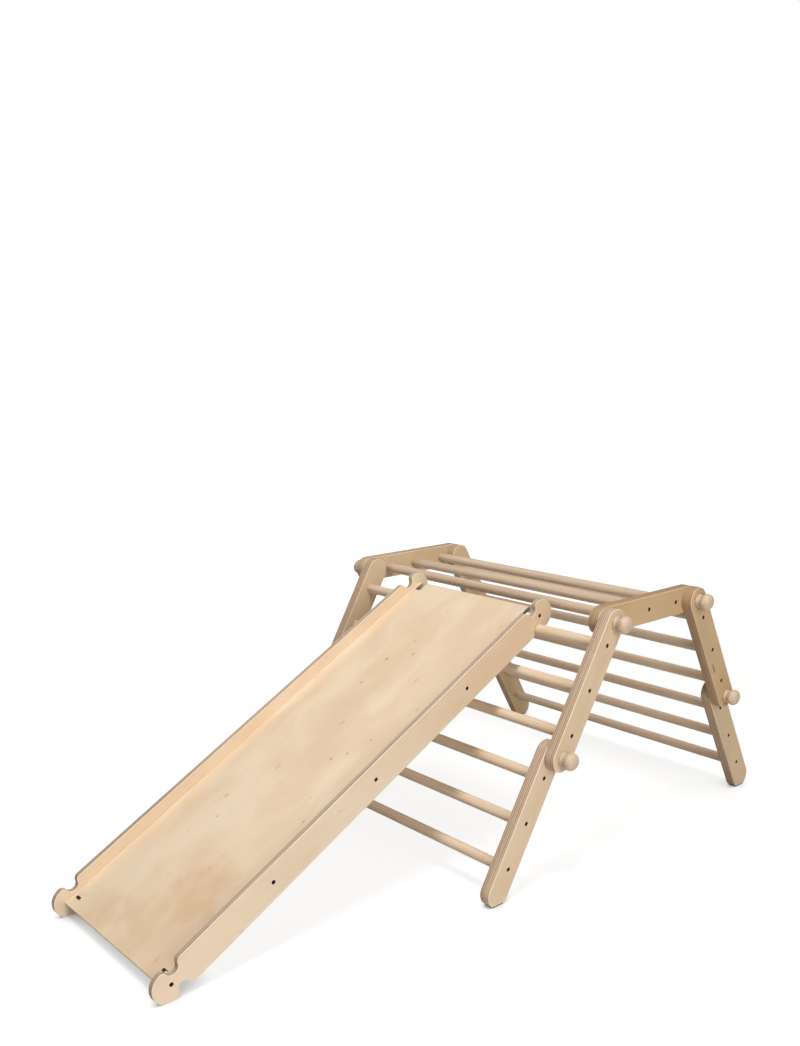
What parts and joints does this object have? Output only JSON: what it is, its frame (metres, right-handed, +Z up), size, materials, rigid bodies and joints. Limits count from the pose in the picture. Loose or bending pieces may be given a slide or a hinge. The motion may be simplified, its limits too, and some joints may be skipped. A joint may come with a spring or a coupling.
{
  "type": "toddler slide",
  "caption": "Folding wooden climbing frame of hinged ladder sections with turned clamp knobs and a plywood slide hooked onto an upper rung.",
  "frame": {"origin": "on the floor under the middle of the whole object", "axes": "+X from the foot of the slide towards the rear legs, +Y across the frame along the rungs, +Z up"},
  "size_m": [1.5636, 0.831, 0.5485],
  "materials": {
    "plywood": "pale birch plywood, clear satin varnish",
    "board_plywood": "pale birch plywood, smooth satin varnish",
    "rung_wood": "round hardwood rod, satin varnish",
    "turned_knob": "turned hardwood, satin varnish",
    "steel": "zinc plated",
    "insert_steel": "zinc plated, yellow passivated",
    "rubber_pad": "matte black"
  },
  "bodies": {
    "top": {"insert_front_top_near": "insert_steel", "insert_rear_top_near": "insert_steel", "top_plate_far": "plywood", "top_plate_near": "plywood", "top_rung_1": "rung_wood", "top_rung_2": "rung_wood", "top_rung_3": "rung_wood"},
    "front_upper": {"front_upper_plate_far": "plywood", "front_upper_plate_near": "plywood", "front_upper_rung_1": "rung_wood", "front_upper_rung_2": "rung_wood", "front_upper_rung_3": "rung_wood", "insert_front_knee_far": "insert_steel", "insert_front_top_far": "insert_steel"},
    "front_lower": {"front_lower_plate_far": "plywood", "front_lower_plate_near": "plywood", "front_lower_rung_1": "rung_wood", "front_lower_rung_2": "rung_wood", "front_lower_rung_3": "rung_wood", "insert_front_knee_near": "insert_steel", "pad_front_far": "rubber_pad", "pad_front_near": "rubber_pad"},
    "rear_upper": {"insert_rear_knee_far": "insert_steel", "insert_rear_top_far": "insert_steel", "rear_upper_plate_far": "plywood", "rear_upper_plate_near": "plywood", "rear_upper_rung_1": "rung_wood", "rear_upper_rung_2": "rung_wood", "rear_upper_rung_3": "rung_wood"},
    "rear_lower": {"insert_rear_knee_near": "insert_steel", "pad_rear_far": "rubber_pad", "pad_rear_near": "rubber_pad", "rear_lower_plate_far": "plywood", "rear_lower_plate_near": "plywood", "rear_lower_rung_1": "rung_wood", "rear_lower_rung_2": "rung_wood", "rear_lower_rung_3": "rung_wood"},
    "slide": {"slide_board": "board_plywood", "slide_rail_far": "plywood", "slide_rail_near": "plywood"},
    "knob_front_knee_far": {"knob_front_knee_far": "turned_knob", "stud_front_knee_far": "steel"},
    "knob_front_knee_near": {"knob_front_knee_near": "turned_knob", "stud_front_knee_near": "steel"},
    "knob_front_top_far": {"knob_front_top_far": "turned_knob", "stud_front_top_far": "steel"},
    "knob_front_top_near": {"knob_front_top_near": "turned_knob", "stud_front_top_near": "steel"},
    "knob_rear_knee_far": {"knob_rear_knee_far": "turned_knob", "stud_rear_knee_far": "steel"},
    "knob_rear_knee_near": {"knob_rear_knee_near": "turned_knob", "stud_rear_knee_near": "steel"},
    "knob_rear_top_far": {"knob_rear_top_far": "turned_knob", "stud_rear_top_far": "steel"},
    "knob_rear_top_near": {"knob_rear_top_near": "turned_knob", "stud_rear_top_near": "steel"}
  },
  "joints": [
    {"name": "front_top_hinge", "type": "hinge", "parent": "top", "child": "front_upper", "pos_m": [0.17394, 0.01215, 0.52002], "axis": [0, 1, 0], "range_deg": [-60, 120]},
    {"name": "front_knee_hinge", "type": "hinge", "parent": "front_upper", "child": "front_lower", "pos_m": [0.02792, 0.01215, 0.2741], "axis": [0, 1, 0], "range_deg": [-90, 45]},
    {"name": "rear_top_hinge", "type": "hinge", "parent": "top", "child": "rear_upper", "pos_m": [0.45994, 0.01215, 0.52002], "axis": [0, 1, 0], "range_deg": [-120, 60]},
    {"name": "rear_knee_hinge", "type": "hinge", "parent": "rear_upper", "child": "rear_lower", "pos_m": [0.60595, 0.01215, 0.2741], "axis": [0, 1, 0], "range_deg": [-120, 90]},
    {"name": "slide_hook", "type": "hinge", "parent": "front_upper", "child": "slide", "pos_m": [0.14943, 0.01215, 0.47874], "axis": [0, 1, 0], "range_deg": [-15, 60]},
    {"name": "front_top_near_knob_turn", "type": "hinge", "parent": "front_upper", "child": "knob_front_top_near", "pos_m": [0.17394, 0.01215, 0.52002], "axis": [0, 1, 0], "continuous": true},
    {"name": "front_top_far_knob_turn", "type": "hinge", "parent": "top", "child": "knob_front_top_far", "pos_m": [0.17394, 0.01215, 0.52002], "axis": [0, 1, 0], "continuous": true},
    {"name": "front_knee_near_knob_turn", "type": "hinge", "parent": "front_upper", "child": "knob_front_knee_near", "pos_m": [0.02792, 0.01215, 0.2741], "axis": [0, 1, 0], "continuous": true},
    {"name": "front_knee_far_knob_turn", "type": "hinge", "parent": "front_lower", "child": "knob_front_knee_far", "pos_m": [0.02792, 0.01215, 0.2741], "axis": [0, 1, 0], "continuous": true},
    {"name": "rear_top_near_knob_turn", "type": "hinge", "parent": "rear_upper", "child": "knob_rear_top_near", "pos_m": [0.45994, 0.01215, 0.52002], "axis": [0, 1, 0], "continuous": true},
    {"name": "rear_top_far_knob_turn", "type": "hinge", "parent": "top", "child": "knob_rear_top_far", "pos_m": [0.45994, 0.01215, 0.52002], "axis": [0, 1, 0], "continuous": true},
    {"name": "rear_knee_near_knob_turn", "type": "hinge", "parent": "rear_upper", "child": "knob_rear_knee_near", "pos_m": [0.60595, 0.01215, 0.2741], "axis": [0, 1, 0], "continuous": true},
    {"name": "rear_knee_far_knob_turn", "type": "hinge", "parent": "rear_lower", "child": "knob_rear_knee_far", "pos_m": [0.60595, 0.01215, 0.2741], "axis": [0, 1, 0], "continuous": true}
  ]
}
